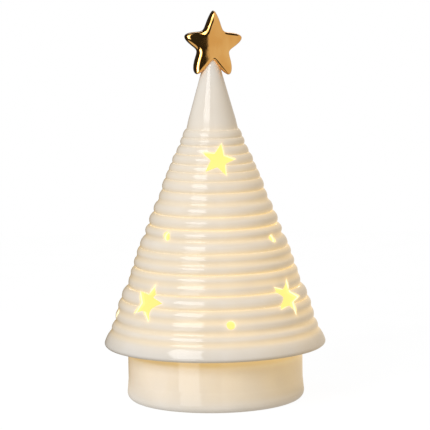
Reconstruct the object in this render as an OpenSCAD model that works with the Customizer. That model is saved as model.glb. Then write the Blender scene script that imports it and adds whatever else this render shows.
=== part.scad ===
// Glazed porcelain Christmas tree lantern: a ridged cone shade with star and dot cut-outs and a gold
// star on its tip, standing on a round base bowl that holds an electric tealight. Millimetres, +Z up,
// origin at the centre of the underside, front towards -Y.

/* [Base bowl] */
// Diameter of the base's upright wall
base_d = 99; // [96:0.5:101]
// How far the foot flares out past the wall
foot_flare = 0.7; // [0:0.1:1.5]
// Height of the shoulder that the shade rests on
base_h = 30.5; // [28:0.5:38]
// Height at which the flare of the foot ends
base_flare_h = 12; // [6:1:18]
// Thickness of the base's wall
base_wall = 3.2; // [2.4:0.2:4]
// Thickness of the base's floor
base_floor = 3.6; // [2.8:0.2:4.8]
// Depth of the recess inside the foot ring
foot_recess = 1.2; // [0.6:0.2:2]
// Width of the foot ring that the base stands on
foot_ring_w = 5; // [3:0.5:8]
// Rounding of the foot's outer edge
foot_edge_r = 4; // [2:0.2:5]
// Rounding between the floor and the wall inside
floor_cove_r = 3; // [1.5:0.5:4]
// Width of the shoulder outside the collar that centres the shade
shoulder_w = 6; // [5:0.2:8]
// Height of the collar above the shoulder
collar_h = 5; // [3:0.5:7]
// Thickness of the collar
collar_wall = 3; // [2.4:0.2:4]
// Height of the ring on the floor that keeps the tealight in the middle
seat_ring_h = 2; // [1.4:0.2:2.6]
// Thickness of that ring
seat_ring_w = 2; // [1.4:0.2:3]
// Play between the tealight and that ring
seat_gap = 0.6; // [0.3:0.1:1]

/* [Tree shade] */
// Diameter of the rim
rim_d = 125.4; // [118:0.2:132]
// Rounding of the rim's lower edge
rim_edge_r = 2; // [1:0.2:2.6]
// Thickness of the flange that turns in under the rim
flange_t = 3; // [2.4:0.2:4]
// Play between the flange and the collar
collar_gap = 0.5; // [0.3:0.1:0.9]
// Level thickness of the wall just above the flange
rim_wall = 3.4; // [3.2:0.1:5]
// Level thickness of the wall where the ridges end
shade_wall = 2.6; // [2.2:0.1:3.4]
// Height of the smooth cone between the ridges and the tip
smooth_h = 40.5; // [36:0.5:44]
// Diameter of the cone at its tip
tip_d = 6.6; // [5.8:0.2:8]
// Thickness of the solid porcelain at the tip
tip_t = 13; // [9:0.5:16]
// Diameter of the hollow just below the tip
tip_hollow_d = 3.4; // [2.4:0.2:4.4]

/* [Ridges] */
// Mean height of one ridge
ridge_pitch = 6; // [5.6:0.1:6.3]
// Mean height that a ridge bulges past the grooves beside it
ridge_bulge = 1; // [0.5:0.1:1.3]
// How far a groove strays off the straight cone where its share is 1
groove_stray = 1; // [0:0.1:1.1]
// Diameter of the cone where the ridges end
ridges_top_d = 29.6; // [28:0.2:33]
// Height of each ridge from the rim up, as a share of the mean
ridge_height_shares = [
    1.2, 0.9, 1.1, 1, 1.2, 1, 0.85, 0.95, 0.9, 1.1, 1, 1.15, 1.1, 1, 1.05, 0.8, 0.7, 0.85, 0.8, 0.7, 0.75
];
// Bulge of each ridge, as a share of the mean
ridge_bulge_shares = [
    0.4, 1.15, 0.95, 1, 1.5, 0.6, 0.85, 1.1, 0.85, 1.2, 1.65, 1.45, 1.25, 0.8, 0.9, 0.45, 0.5, 0.9, 0.75,
    0.75, 0.5
];
// Stray of the groove below each ridge, as a share of the largest, with one more where the ridges end
groove_stray_shares = [
    0, -1, -1.6, -0.5, -0.2, -1.25, 0, -0.45, 0.3, 0.85, -0.45, -0.1, 0.25, 0, 0.25, 0.95, 0.9, 0.5, 0.25,
    -0.45, 0.2, 0
];
// Flats on the curve of each ridge
ridge_steps = 5; // [4:1:6]

/* [Cut-outs] */
// Height of the middle of the upper stars above the rim
upper_star_rise = 104.7; // [98:0.1:107]
// Diameter across the points of an upper star
upper_star_d = 20.4; // [16:0.2:21]
// Places of the upper stars round the tree, in degrees from the front
upper_star_turns = [8.9, 125, -113];
// Tilt of each upper star in degrees
upper_star_tilts = [14, -10, 6];
// Height of the middle of the lower stars above the rim
lower_star_rise = 28.4; // [25:0.1:34]
// Diameter across the points of a lower star
lower_star_d = 22.8; // [18:0.2:23.2]
// Places of the lower stars round the tree, in degrees from the front
lower_star_turns = [-45.9, 52.8, 184];
// Tilt of each lower star in degrees
lower_star_tilts = [14, 22, -9];
// How far the lower stars stray up or down where their share is 1
lower_star_stray = 0.7; // [0:0.1:2]
// Stray of each lower star, as a share of the largest
lower_star_stray_shares = [-0.8, 1, 0.2];
// Depth of the notches between a cut-out star's points, as a share of its radius
star_notch_share = 0.44; // [0.4:0.01:0.5]
// Diameter of the round holes
dot_d = 4.8; // [4:0.1:7]
// Height of the upper round holes above the rim
upper_dot_rise = 62; // [58:0.5:66]
// Places of the upper round holes round the tree, in degrees from the front
upper_dot_turns = [-42.5, 56.2, 186];
// Height of the lower round holes above the rim
lower_dot_rise = 17.8; // [14:0.2:20]
// Places of the lower round holes round the tree, in degrees from the front
lower_dot_turns = [9.1, -80.6, 98, -157];
// How far the upper round holes stray up or down where their share is 1
dot_stray = 1.6; // [0:0.1:2]
// Stray of each upper round hole, as a share of the largest
dot_stray_shares = [0.9, -1, 0.3];

/* [Gold star] */
// Height of the star's middle above the middle of the cone's round tip
star_rise = 6.1; // [4:0.1:9]
// How far the star stands to the right of the axis
star_shift = 1; // [0:0.1:1.4]
// Tilt of the star in degrees
star_tilt = 1.7; // [-3:0.1:3]
// Reach of the top arm
top_arm = 19.4; // [17:0.1:22]
// Reach of the two side arms
side_arm = 16.6; // [15:0.1:19]
// Reach of the two legs
leg_arm = 18.5; // [17:0.1:20]
// Distance from the middle to the valleys beside the top arm
upper_valley = 10.1; // [9:0.1:11]
// Distance from the middle to the valleys between side arms and legs
lower_valley = 9.6; // [9:0.1:11]
// Distance from the middle to the notch between the legs
leg_notch = 8.2; // [7.4:0.1:8.6]
// Thickness of the star at its edge
star_edge_t = 7.2; // [6:0.2:9]
// How far each face rolls out from the edge
star_roll = 2.2; // [1.4:0.2:3]
// How far the middle of each face is domed beyond that
star_dome = 0.7; // [0:0.1:1.4]
// Gap for the glue between the star and the cone
glue_gap = 0.1; // [0.05:0.05:0.2]

/* [Tealight] */
// Room between the coin cell and the housing's wall, which sets the tealight's diameter of 38
cell_room = 2.8; // [2.6:0.1:3.4]
// Height of the tealight's housing
tealight_h = 17; // [16.6:0.2:19]
// Thickness of the housing's wall
tealight_wall = 1.2; // [0.9:0.1:1.3]
// Thickness of the housing's deck in the middle
deck_t = 1.4; // [1:0.1:1.8]
// Depth of the dish in the deck
deck_dish = 1; // [0.4:0.1:1.2]
// Diameter of the flame
flame_d = 12; // [11:0.2:13]
// Height of the flame above the deck
flame_h = 20; // [16:0.5:23]
// Thickness of the flame's wall at its foot
flame_wall = 2.4; // [1.6:0.1:2.6]
// Play round the flame in the deck
flame_gap = 0.15; // [0.1:0.05:0.25]
// Width of the flange under the flame
flame_flange_w = 1.6; // [1:0.1:1.8]
// Diameter of the lamp
lamp_d = 5; // [4:0.1:5.4]
// Length of the lamp from the board to its tip
lamp_l = 8.6; // [7.4:0.1:9]
// Thickness of the circuit board
board_t = 1; // [0.8:0.1:1.2]
// Width of the circuit board
board_w = 19; // [18:0.5:20]
// Diameter of the posts that carry the board
post_d = 2.6; // [2.4:0.1:2.8]
// Diameter of the small screws' threads
screw_d = 1.3; // [1.1:0.1:1.4]
// Diameter of the small screws' heads
screw_head_d = 2.8; // [2.4:0.1:3]
// Height of the small screws' heads
screw_head_h = 0.6; // [0.5:0.1:0.6]

/* [Battery and switch] */
// Diameter of the coin cell
cell_d = 20; // [19:0.2:20.4]
// Thickness of the coin cell
cell_h = 3.2; // [2.5:0.1:3.4]
// Distance of the coin cell from the tealight's axis
cell_shift = 5; // [4.8:0.1:5.2]
// Thickness of the contact strips
contact_t = 0.3; // [0.2:0.05:0.4]
// Width of the contact strips
contact_w = 4; // [3:0.5:5]
// Room between the coin cell and the board
contact_h = 3; // [2.6:0.1:3.2]
// Thickness of the bottom cover
cover_t = 1.6; // [1.6:0.1:1.8]
// Depth that the bottom cover sits inside the housing
cover_inset = 0.6; // [0.5:0.1:0.8]
// Play round the bottom cover and its door
cover_gap = 0.2; // [0.15:0.05:0.25]
// Diameter of the posts for the cover's screws
cover_post_d = 4.4; // [4:0.1:4.6]
// Travel of the switch
switch_travel = 2.5; // [2:0.1:2.8]
// Width of the switch across its travel
switch_w = 4; // [3.6:0.1:4.2]
// Length of the switch along its travel
switch_l = 8.4; // [8.2:0.1:9]
// Height of the switch above the cover
switch_h = 3.6; // [3.2:0.1:3.8]
// Play round the switch's slider
switch_gap = 0.2; // [0.15:0.05:0.25]

/* [Hidden] */
$fn = 96;

// Overrun by which a cut passes the face it opens
over = 1;
// Porcelain and plastic colours
porcelain = [0.93, 0.88, 0.8];
gold = [0.83, 0.6, 0.3];
white_plastic = [0.95, 0.94, 0.9];
steel = [0.75, 0.75, 0.76];

// Points of a quarter or half circle about a middle, from one angle to another
arc_steps = 6;
function arc(middle, r, from, to) = [
    for (i = [0:arc_steps]) middle + r * [
        cos(from + (to - from) * i / arc_steps),
        sin(from + (to - from) * i / arc_steps)
    ]
];

// Sum of the first entries of a list
function sum_to(list, count) = count <= 0 ? 0 : list[count - 1] + sum_to(list, count - 1);

// Base bowl: radii and heights that other pieces take
bowl_r = base_d / 2 - base_wall;
collar_r = base_d / 2 - shoulder_w;
collar_in_r = collar_r - collar_wall;
floor_z = foot_recess + base_floor;
shoulder_in_z = base_h - base_wall;
collar_edge_share = 0.4;
collar_edge_r = collar_wall * collar_edge_share;
tealight_in_r = cell_d / 2 + cell_shift + cell_room;
tealight_r = tealight_in_r + tealight_wall;
seat_ring_r = tealight_r + seat_gap;

module base_bowl() {
    foot_r = base_d / 2 + foot_flare;
    foot_in_r = foot_r - foot_edge_r - foot_ring_w;
    shoulder_edge_share = 0.25;
    shoulder_edge_r = base_wall * shoulder_edge_share;
    outside = concat(
        [[0, foot_recess], [foot_in_r - foot_recess, foot_recess], [foot_in_r, 0]],
        arc([foot_r - foot_edge_r, foot_edge_r], foot_edge_r, -90, 0),
        [[base_d / 2, base_flare_h]],
        arc([base_d / 2 - shoulder_edge_r, base_h - shoulder_edge_r], shoulder_edge_r, 0, 90),
        [[collar_r, base_h]],
        arc([collar_r - collar_edge_r, base_h + collar_h - collar_edge_r], collar_edge_r, 0, 90),
        arc([collar_in_r + collar_edge_r, base_h + collar_h - collar_edge_r], collar_edge_r, 90, 180)
    );
    inside = concat(
        [[collar_in_r, shoulder_in_z], [bowl_r, shoulder_in_z - (bowl_r - collar_in_r)]],
        arc([bowl_r - floor_cove_r, floor_z + floor_cove_r], floor_cove_r, 0, -90),
        [[0, floor_z]]
    );
    color(porcelain) {
        rotate_extrude()
            polygon(concat(outside, inside));
        difference() {
            translate([0, 0, floor_z - base_floor / 2])
                cylinder(r = seat_ring_r + seat_ring_w, h = seat_ring_h + base_floor / 2);
            translate([0, 0, floor_z - base_floor])
                cylinder(r = seat_ring_r, h = seat_ring_h + base_floor + over);
        }
    }
}

// Tree shade: the ridges climb from the rim's widest point to the smooth cone
rim_r = rim_d / 2;
rim_z = base_h + rim_edge_r;
ridges_top_r = ridges_top_d / 2;
ridge_count = len(ridge_height_shares);
groove_z = [for (i = [0:ridge_count]) rim_z + ridge_pitch * sum_to(ridge_height_shares, i)];
ridges_top_z = groove_z[ridge_count];
function cone_r(z) = rim_r + (ridges_top_r - rim_r) * (z - rim_z) / (ridges_top_z - rim_z);
groove_r = [for (i = [0:ridge_count]) cone_r(groove_z[i]) + groove_stray * groove_stray_shares[i]];
slope = atan((rim_r - ridges_top_r) / (ridges_top_z - rim_z));
tip_r = tip_d / 2;
tip_z = ridges_top_z + smooth_h;
flange_r = collar_r + collar_gap;
flange_z = base_h + flange_t;

// One point of a ridge: along the line between two grooves, pushed out by a parabola
function ridge_point(i, t) =
    let (step = [groove_r[i + 1] - groove_r[i], groove_z[i + 1] - groove_z[i]])
    let (out = [step[1], -step[0]] / norm(step))
    [groove_r[i], groove_z[i]] + step * t + out * ridge_bulge * ridge_bulge_shares[i] * 4 * t * (1 - t);

ridge_points = [
    for (i = [0:ridge_count - 1])
        for (j = [0:ridge_steps - 1])
            ridge_point(i, j / ridge_steps)
];

// Outline of a star with its first point upwards
function star_points(d, notch_share) = [
    for (i = [0:9])
        d / 2 * (i % 2 == 0 ? 1 : notch_share) * [sin(36 * i), cos(36 * i)]
];

// Places its children on the cone at a height, square to the wall
module on_cone(turn, z) {
    rotate([0, 0, turn])
        translate([0, -cone_r(z), z])
            rotate([90 - slope, 0, 0])
                children();
}

// How far a cut-out's tool reaches either side of the cone
cut_reach = 2 * rim_wall;

module star_cut(turn, z, d, tilt) {
    on_cone(turn, z)
        rotate([0, 0, -tilt])
            translate([0, 0, -cut_reach])
                linear_extrude(2 * cut_reach)
                    polygon(star_points(d, star_notch_share));
}

module dot_cut(turn, z) {
    on_cone(turn, z)
        translate([0, 0, -cut_reach])
            cylinder(d = dot_d, h = 2 * cut_reach);
}

module tree_shade() {
    // The flange's opening has a small bevel, so that it finds the collar
    bevel_share = 0.3;
    bevel = flange_t * bevel_share;
    rim = concat(
        [[flange_r, flange_z], [flange_r, base_h + bevel], [flange_r + bevel, base_h]],
        arc([rim_r - rim_edge_r, rim_z], rim_edge_r, -90, 0)
    );
    tip = concat([[ridges_top_r, ridges_top_z]], arc([0, tip_z], tip_r, 0, 90));
    hollow = [
        [0, tip_z + tip_r - tip_t],
        [tip_hollow_d / 2, tip_z + tip_r - tip_t],
        [ridges_top_r - shade_wall, ridges_top_z],
        [rim_r - rim_wall, flange_z]
    ];
    color(porcelain)
        difference() {
            rotate_extrude()
                polygon(concat(rim, ridge_points, tip, hollow));
            for (i = [0:len(upper_star_turns) - 1])
                star_cut(upper_star_turns[i], rim_z + upper_star_rise, upper_star_d, upper_star_tilts[i]);
            for (i = [0:len(lower_star_turns) - 1])
                star_cut(lower_star_turns[i],
                    rim_z + lower_star_rise + lower_star_stray * lower_star_stray_shares[i],
                    lower_star_d, lower_star_tilts[i]);
            for (i = [0:len(upper_dot_turns) - 1])
                dot_cut(upper_dot_turns[i], rim_z + upper_dot_rise + dot_stray * dot_stray_shares[i]);
            for (turn = lower_dot_turns)
                dot_cut(turn, rim_z + lower_dot_rise);
        }
}

// Gold star: arms and valleys alternate round its middle, in degrees from the top arm
valley_turns = [36, 109, 180];
arm_turns = [0, 72.5, 149.5];
valley_reaches = [upper_valley, lower_valley, leg_notch];
arm_reaches = [top_arm, side_arm, leg_arm];
// Roundness of each arm's end, as a share of half the arm's angle
arm_round_shares = [0.08, 0.24, 0.26];

// Reach of the outline between an arm, where x is 0, and a valley, where x is 1
function soft_step(x, e) = (sqrt(x * x + e * e) - e) / (sqrt(1 + e * e) - e);
function arm_reach(i, j, x) =
    valley_reaches[j] + (arm_reaches[i] - valley_reaches[j]) * pow(1 - soft_step(x, arm_round_shares[i]), 2);
function half_reach(a) =
    a < valley_turns[0] ? arm_reach(0, 0, a / valley_turns[0]) :
    a < arm_turns[1] ? arm_reach(1, 0, (arm_turns[1] - a) / (arm_turns[1] - valley_turns[0])) :
    a < valley_turns[1] ? arm_reach(1, 1, (a - arm_turns[1]) / (valley_turns[1] - arm_turns[1])) :
    a < arm_turns[2] ? arm_reach(2, 1, (arm_turns[2] - a) / (arm_turns[2] - valley_turns[1])) :
    arm_reach(2, 2, (a - arm_turns[2]) / (valley_turns[2] - arm_turns[2]));
function star_reach(a) = half_reach(a <= 180 ? a : 360 - a);

// Each face's rings, from the middle to the edge, and points round each ring
face_rings = 7;
star_rings = 2 * face_rings;
star_sides = 72;
// A face stays nearly flat and rolls over close to its edge: the higher, the later
flatness = 9;
function ring_turn(i) = 90 * pow(i / face_rings, 1.6);
function ring_share(i) = pow(sin(ring_turn(i)), 2 / flatness);
function face_t(i) =
    star_edge_t / 2 + star_roll * pow(cos(ring_turn(i)), 2 / 3) + star_dome * (1 - pow(ring_share(i), 2));
function star_ring(i, side) = [
    for (j = [0:star_sides - 1])
        let (a = 360 * j / star_sides)
        let (out = star_reach(a) * ring_share(i))
        [out * sin(a), side * face_t(i), out * cos(a)]
];

module gold_star() {
    middle_t = star_edge_t / 2 + star_roll + star_dome;
    points = concat(
        [[0, -middle_t, 0]],
        [for (i = [1:face_rings]) each star_ring(i, -1)],
        [for (i = [face_rings:-1:1]) each star_ring(i, 1)],
        [[0, middle_t, 0]]
    );
    last = len(points) - 1;
    front = [for (j = [0:star_sides - 1]) [0, 1 + (j + 1) % star_sides, 1 + j]];
    back = [
        for (j = [0:star_sides - 1])
            [last, last - star_sides + j, last - star_sides + (j + 1) % star_sides]
    ];
    sides = [
        for (i = [0:star_rings - 2])
            for (j = [0:star_sides - 1])
                let (near = 1 + i * star_sides)
                let (far = near + star_sides)
                let (next = (j + 1) % star_sides)
                each [[near + j, near + next, far + next], [near + j, far + next, far + j]]
    ];
    color(gold)
        difference() {
            translate([star_shift, 0, tip_z + star_rise])
                rotate([0, star_tilt, 0])
                    polyhedron(points, concat(front, sides, back));
            rotate_extrude()
                polygon(concat(
                    [[0, ridges_top_z], [ridges_top_r + glue_gap, ridges_top_z]],
                    arc([0, tip_z], tip_r + glue_gap, 0, 90)
                ));
        }
}

// Tealight: it stands on the bowl's floor, and its inner pieces stack up from the bottom cover
tealight_top_z = floor_z + tealight_h;
deck_z = tealight_top_z - deck_dish - deck_t;
cover_z = floor_z + cover_inset;
cover_top_z = cover_z + cover_t;
cell_top_z = cover_top_z + cell_h;
board_z = cell_top_z + contact_h;
board_top_z = board_z + board_t;
flame_r = flame_d / 2;
flame_flange_r = flame_r + flame_flange_w;
screw_hole_gap = 0.1;
head_clear = 0.2;
// Distance of the board's posts from the axis
post_x = flame_flange_r + post_d / 2 + 3 * cover_gap;
// Distance of the cover's screws from the axis
cover_screw_y = tealight_in_r - cover_post_d / 2 - cover_inset - 4 * cover_gap;
// Length of the small screws' threads
cover_screw_l = cover_t + cell_h;
board_screw_l = board_t + cell_h;

module tealight_housing() {
    dish_share = 0.85;
    color(white_plastic)
        difference() {
            union() {
                difference() {
                    translate([0, 0, floor_z])
                        cylinder(r = tealight_r, h = tealight_h);
                    translate([0, 0, floor_z - over])
                        cylinder(r = tealight_in_r, h = deck_z - floor_z + over);
                }
                for (side = [-1, 1]) {
                    translate([side * post_x, 0, board_top_z])
                        cylinder(d = post_d, h = deck_z + deck_t / 2 - board_top_z);
                    translate([0, side * cover_screw_y, cover_top_z])
                        cylinder(d = cover_post_d, h = deck_z + deck_t / 2 - cover_top_z);
                }
            }
            translate([0, 0, tealight_top_z - deck_dish])
                rotate_extrude()
                    polygon([
                        [0, 0], [flame_flange_r, 0], [tealight_r * dish_share, deck_dish],
                        [tealight_r * dish_share, deck_dish + over], [0, deck_dish + over]
                    ]);
            translate([0, 0, deck_z - over])
                cylinder(r = flame_r + flame_gap, h = deck_t + 2 * over);
            for (side = [-1, 1]) {
                translate([side * post_x, 0, board_top_z - over])
                    cylinder(d = screw_d + screw_hole_gap, h = board_screw_l + over);
                translate([0, side * cover_screw_y, cover_top_z - over])
                    cylinder(d = screw_d + screw_hole_gap, h = cover_screw_l + over);
            }
        }
}

// The flame swells from the deck and closes in a soft point
flame_steps = 14;
function flame_point(u) = [flame_r * pow(1 - pow(u, 1.5), 0.75), tealight_top_z - deck_dish + flame_h * u];

module flame_diffuser() {
    hollow_r = flame_r - flame_wall;
    hollow_z = board_top_z + lamp_l + flame_wall;
    color([1, 0.9, 0.6])
        rotate_extrude()
            polygon(concat(
                [[hollow_r, deck_z - deck_t], [flame_flange_r, deck_z - deck_t], [flame_flange_r, deck_z]],
                [[flame_r, deck_z]],
                [for (i = [0:flame_steps]) flame_point(i / flame_steps)],
                arc([0, hollow_z - hollow_r], hollow_r, 90, 0)
            ));
}

module led_lamp() {
    lens_r = lamp_d / 2;
    rim_share = 0.16;
    color([1, 0.95, 0.7])
        translate([0, 0, board_top_z])
            rotate_extrude()
                polygon(concat(
                    [[0, 0], [lens_r * (1 + rim_share), 0], [lens_r * (1 + rim_share), lens_r * rim_share * 2]],
                    [[lens_r, lens_r * rim_share * 2]],
                    arc([0, lamp_l - lens_r], lens_r, 0, 90)
                ));
}

module circuit_board() {
    board_r = tealight_in_r - tealight_wall;
    color([0.1, 0.4, 0.2])
        difference() {
            translate([0, 0, board_z])
                linear_extrude(board_t)
                    intersection() {
                        circle(r = board_r);
                        square([2 * board_r, board_w], center = true);
                    }
            for (side = [-1, 1])
                translate([side * post_x, 0, board_z - over])
                    cylinder(d = screw_d + screw_hole_gap, h = board_t + 2 * over);
        }
}

// A small pan-head screw whose thread starts at a height and points up
module screw(length) {
    translate([0, 0, -screw_head_h])
        cylinder(d = screw_head_d, h = screw_head_h);
    cylinder(d = screw_d, h = length);
}

module board_screws() {
    color(steel)
        for (side = [-1, 1])
            translate([side * post_x, 0, board_z])
                screw(board_screw_l);
}

module coin_cell() {
    step_share = 0.88;
    can_share = 0.8;
    color(steel)
        translate([-cell_shift, 0, cover_top_z]) {
            cylinder(d = cell_d, h = cell_h * can_share);
            cylinder(d = cell_d * step_share, h = cell_h);
        }
}

// Outline of the strip that leads from the board down to the top of the coin cell
module contact_negative() {
    foot = contact_w / 2;
    drop = contact_h;
    color(steel)
        translate([-cell_shift, contact_w / 2, cell_top_z])
            rotate([90, 0, 0])
                linear_extrude(contact_w)
                    polygon([
                        [-foot, 0], [foot, 0], [2 * foot, drop - contact_t], [3 * foot, drop - contact_t],
                        [3 * foot, drop], [2 * foot - contact_t, drop], [foot - contact_t, contact_t],
                        [-foot, contact_t]
                    ]);
}

// Strip beside the coin cell: it hangs from the board and touches the cell's rim
contact_x = cell_d / 2 - cell_shift;

module contact_positive() {
    color(steel) {
        translate([contact_x, -contact_w / 2, cover_top_z + cell_h / 4])
            cube([contact_t, contact_w, board_z - cover_top_z - cell_h / 4]);
        translate([contact_x, -contact_w / 2, board_z - contact_t])
            cube([contact_w / 2, contact_w, contact_t]);
    }
}

// Switch: its case stands on the cover near the housing's wall, and its slider works through the cover
door_r = cell_d / 2 + cover_gap;
door_screw_x = door_r + cover_gap - cell_shift + screw_head_d / 2 + cover_gap;
door_boss_r = screw_d / 2 + tealight_wall / 2;
door_ear_w = screw_head_d + 2 * tealight_wall;
door_ear_t = cover_t / 2;
switch_x = tealight_in_r - tealight_wall - switch_w / 2 - 4 * cover_gap;
slider_w = switch_w / 2;
slider_l = switch_l - switch_travel - 2 * tealight_wall;
knob_w = slider_w * 0.7;
knob_l = slider_l / 2;
slider_y = switch_travel / 2;
slider_top_z = cover_top_z + switch_h / 2;

module switch_case() {
    pin_share = 0.35;
    color([0.2, 0.2, 0.22])
        difference() {
            translate([switch_x - switch_w / 2, -switch_l / 2, cover_top_z])
                cube([switch_w, switch_l, switch_h]);
            translate([
                switch_x - slider_w / 2 - switch_gap,
                -(slider_l + switch_travel) / 2 - switch_gap,
                cover_top_z - over
            ])
                cube([
                    slider_w + 2 * switch_gap,
                    slider_l + switch_travel + 2 * switch_gap,
                    switch_h / 2 + switch_gap + over
                ]);
        }
    color(steel)
        for (place = [-1:1])
            translate([switch_x, place * switch_l / 4, cover_top_z + switch_h - tealight_wall / 2])
                cylinder(r = pin_share * tealight_wall, h = board_z - cover_top_z - switch_h + tealight_wall / 2);
}

module switch_slider() {
    color([0.1, 0.1, 0.1]) {
        translate([switch_x - slider_w / 2, slider_y - slider_l / 2, cover_top_z + switch_gap])
            cube([slider_w, slider_l, slider_top_z - cover_top_z - switch_gap]);
        translate([switch_x - knob_w / 2, slider_y - knob_l / 2, floor_z + cover_inset / 4])
            cube([knob_w, knob_l, cover_top_z + switch_gap + over / 2 - floor_z - cover_inset / 4]);
    }
}

// Outline of the battery door, grown by some play
module door_outline(grow) {
    translate([-cell_shift, 0])
        circle(r = door_r + grow);
    ear_outline(grow);
}

// Hook of the battery door, grown by some play: it reaches over a ledge in the cover
module hook(grow) {
    hook_l = 1.2 * tealight_wall;
    hook_t = cover_t * 0.3;
    translate([
        -cell_shift - door_r - hook_l + cover_gap - grow,
        -contact_w / 2 - grow,
        cover_top_z - hook_t - cover_gap / 2 - grow
    ])
        cube([2 * hook_l, contact_w + 2 * grow, hook_t + 2 * grow]);
}

module ear_outline(grow) {
    translate([0, -door_ear_w / 2 - grow])
        square([door_screw_x, door_ear_w + 2 * grow]);
    translate([door_screw_x, 0])
        circle(d = door_ear_w + 2 * grow);
}

module bottom_cover() {
    color(white_plastic)
        difference() {
            union() {
                translate([0, 0, cover_z])
                    cylinder(r = tealight_in_r - cover_gap, h = cover_t);
                translate([door_screw_x, 0, cover_z])
                    cylinder(r = door_boss_r, h = cover_t + cell_h);
            }
            translate([-cell_shift, 0, cover_z - over])
                cylinder(r = door_r + cover_gap, h = cover_t + 2 * over);
            translate([0, 0, cover_z - over])
                linear_extrude(door_ear_t + cover_gap + over)
                    ear_outline(cover_gap);
            hook(cover_gap);
            translate([door_screw_x, 0, cover_z - over])
                cylinder(d = screw_d + screw_hole_gap, h = cover_t + cell_h - tealight_wall / 2 + over);
            for (side = [-1, 1])
                translate([0, side * cover_screw_y, cover_z - over]) {
                    cylinder(d = screw_d + 2 * screw_hole_gap, h = cover_t + 2 * over);
                    cylinder(d = screw_head_d + 2 * head_clear, h = screw_head_h + head_clear + over);
                }
            translate([
                switch_x - knob_w / 2 - switch_gap,
                -(knob_l + switch_travel) / 2 - switch_gap,
                cover_z - over
            ])
                cube([
                    knob_w + 2 * switch_gap,
                    knob_l + switch_travel + 2 * switch_gap,
                    cover_t + 2 * over
                ]);
        }
}

module cover_screws() {
    color(steel)
        for (side = [-1, 1])
            translate([0, side * cover_screw_y, cover_z + screw_head_h + head_clear])
                screw(cover_screw_l);
}

module battery_door() {
    color(white_plastic)
        difference() {
            union() {
                translate([-cell_shift, 0, cover_z])
                    cylinder(r = door_r, h = cover_t);
                translate([0, 0, cover_z])
                    linear_extrude(door_ear_t)
                        ear_outline(0);
                hook(0);
            }
            translate([door_screw_x, 0, cover_z - over])
                cylinder(d = screw_d + 2 * screw_hole_gap, h = cover_t + 2 * over);
            translate([door_screw_x, 0, cover_z - over])
                cylinder(d = screw_head_d + 2 * head_clear, h = door_ear_t / 2 + over);
        }
}

module door_screw() {
    color(steel)
        translate([door_screw_x, 0, cover_z + door_ear_t / 2])
            screw(cell_h);
}

base_bowl();
tree_shade();
gold_star();
tealight_housing();
flame_diffuser();
led_lamp();
circuit_board();
board_screws();
coin_cell();
contact_negative();
contact_positive();
switch_case();
switch_slider();
bottom_cover();
cover_screws();
battery_door();
door_screw();
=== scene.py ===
import math

import bmesh
import bpy
import numpy as np
from mathutils import Matrix, Vector


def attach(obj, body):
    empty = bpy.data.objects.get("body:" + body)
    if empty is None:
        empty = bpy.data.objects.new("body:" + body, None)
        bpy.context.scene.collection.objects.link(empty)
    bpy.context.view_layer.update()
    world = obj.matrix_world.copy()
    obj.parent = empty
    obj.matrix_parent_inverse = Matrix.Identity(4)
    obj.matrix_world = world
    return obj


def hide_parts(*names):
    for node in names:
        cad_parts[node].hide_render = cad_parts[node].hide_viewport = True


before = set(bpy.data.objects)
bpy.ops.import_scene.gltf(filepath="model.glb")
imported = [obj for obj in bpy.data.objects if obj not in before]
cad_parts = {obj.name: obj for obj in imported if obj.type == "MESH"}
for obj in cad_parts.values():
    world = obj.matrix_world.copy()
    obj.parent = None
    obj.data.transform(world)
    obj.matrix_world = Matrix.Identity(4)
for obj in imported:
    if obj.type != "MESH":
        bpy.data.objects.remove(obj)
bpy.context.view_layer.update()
mm = 0.001
degree = math.radians(1)

# Values of the design that the pieces below repeat
rim_r = 62.7 * mm
rim_z = 32.5 * mm
ridges_top_r = 14.8 * mm
ridges_top_z = 153.1 * mm
tip_z = 193.6 * mm
tip_r = 3.3 * mm
flange_z = 33.5 * mm
slope = math.atan((rim_r - ridges_top_r) / (ridges_top_z - rim_z))
upper_star_z = rim_z + 104.7 * mm
lower_star_z = rim_z + 28.4 * mm
upper_dot_z = rim_z + 62 * mm
lower_dot_z = rim_z + 17.8 * mm
upper_star_d = 20.4 * mm
lower_star_d = 22.8 * mm
dot_d = 4.8 * mm
star_stray = 0.7 * mm
dot_stray = 1.6 * mm

# Azimuth in degrees of a half plane that meets no cut-out
plain_turn = -27

# Points round each turned piece
sides = 288

# Limits for reading the solids' outlines and drawing them again
weld_gap = 0.0005 * mm
least_step = 0.005 * mm
no_length = 1e-9
least_bend = 0.3 * degree
sharp_turn = 25 * degree
long_stretch = 3 * mm
fine_step = 0.6 * mm
long_step = 2.5 * mm

# Largest share of a run that the rounding of a corner takes
corner_share = 0.42

# Angle between two faces from which their edge stays sharp
sharp_edge = 42 * degree


def cone_r(height):
    """Radius of the straight cone through the rim and the ridges' top."""
    return rim_r + (ridges_top_r - rim_r) * (height - rim_z) / (ridges_top_z - rim_z)


# Outlines of the turned pieces
def half_section(node, azimuth):
    """Outline of a turned CAD node in one half plane through its axis, from one axis point to the other."""
    turn = azimuth * degree
    outwards = Vector((math.sin(turn), -math.cos(turn), 0))
    sideways = Vector((math.cos(turn), math.sin(turn), 0))
    bm = bmesh.new()
    bm.from_mesh(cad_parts[node].data)
    bmesh.ops.remove_doubles(bm, verts=bm.verts, dist=weld_gap)
    for normal in (outwards, sideways):
        parts = bm.verts[:] + bm.edges[:] + bm.faces[:]
        cut = bmesh.ops.bisect_plane(
            bm, geom=parts, plane_co=(0, 0, 0), plane_no=normal, clear_inner=normal is outwards
        )
    chain = chained([edge for edge in cut["geom_cut"] if isinstance(edge, bmesh.types.BMEdge)])
    points = [Vector((max(vertex.co.dot(outwards), 0), vertex.co.z)) for vertex in chain]
    bm.free()
    return plain_points(points)


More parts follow.
